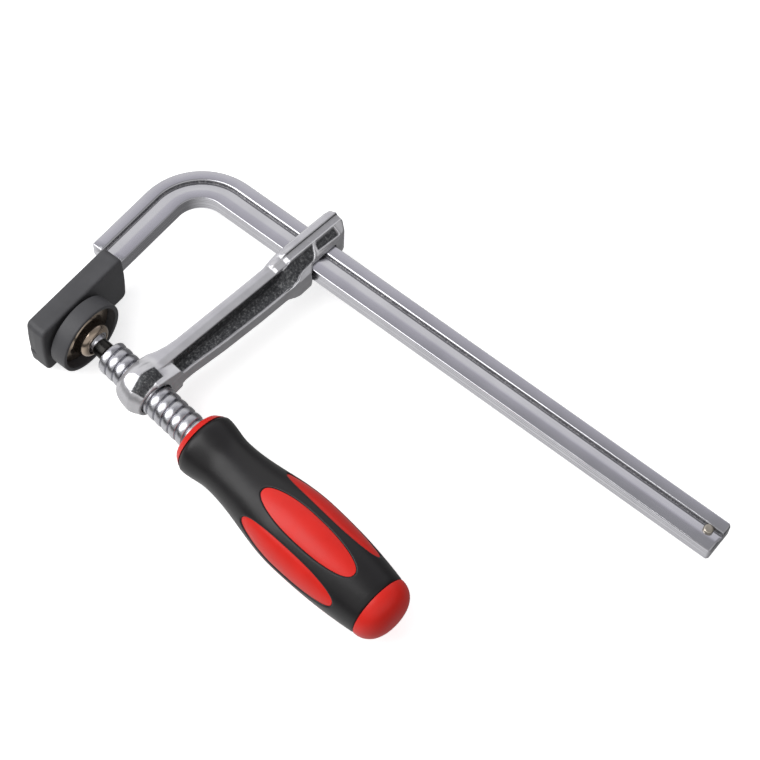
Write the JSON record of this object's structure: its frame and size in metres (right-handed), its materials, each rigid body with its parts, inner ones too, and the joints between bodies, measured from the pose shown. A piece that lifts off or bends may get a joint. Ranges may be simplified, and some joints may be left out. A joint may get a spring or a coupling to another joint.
{
  "type": "f clamp",
  "caption": "Light F clamp: grooved steel bar bent into a fixed jaw, sliding forged arm, screw spindle with swivelling pad and a two-colour handle.",
  "frame": {"origin": "centre of the fixed jaw's clamping face, at the spindle's height", "axes": "+X along the bar, the way the clamp opens; +Y from the spindle towards the bar; +Z square to the clamp's plane"},
  "size_m": [0.3115, 0.1541, 0.0384],
  "materials": {
    "chrome_steel": "polished plating over cold-drawn steel",
    "pin_steel": "domed ends, warm tint",
    "forged_steel": "smooth light faces with rough dark forged pockets",
    "spindle_steel": "rolled thread, dark neck",
    "spring_steel": "plain",
    "plate_steel": "nickel plated",
    "cap_plastic": "fine-grained matt",
    "red_plastic": "semi-gloss",
    "black_grip": "soft, matt"
  },
  "bodies": {
    "bar": {"bar": "chrome_steel", "stop_pin": "pin_steel", "jaw_cap": "cap_plastic"},
    "arm": {"sliding_arm": "forged_steel"},
    "carrier": {"ball_retaining_ring": "spring_steel"},
    "spindle": {"spindle": "spindle_steel", "handle_core": "red_plastic", "handle_grip": "black_grip"},
    "pad": {"pressure_plate": "plate_steel", "pad_cap": "cap_plastic"}
  },
  "joints": [
    {"name": "arm_slide", "type": "slide", "parent": "bar", "child": "arm", "axis": [1, 0, 0], "range_m": [0, 0.205]},
    {"name": "spindle_travel", "type": "slide", "parent": "arm", "child": "carrier", "axis": [0.9943, -0.107, 0], "range_m": [0, 0.0201]},
    {"name": "handle_turn", "type": "hinge", "parent": "carrier", "child": "spindle", "pos_m": [0.011, 0, 0], "axis": [0.9943, -0.107, 0], "range_deg": [0, 1565]},
    {"name": "pad_tilt", "type": "hinge", "parent": "carrier", "child": "pad", "pos_m": [0.011, 0, 0], "axis": [0, 0, 1], "range_deg": [-4, 4]}
  ],
  "couplings": [
    {"joint": "spindle_travel", "follows": "handle_turn", "m_per_rad": 0.00073211}
  ]
}
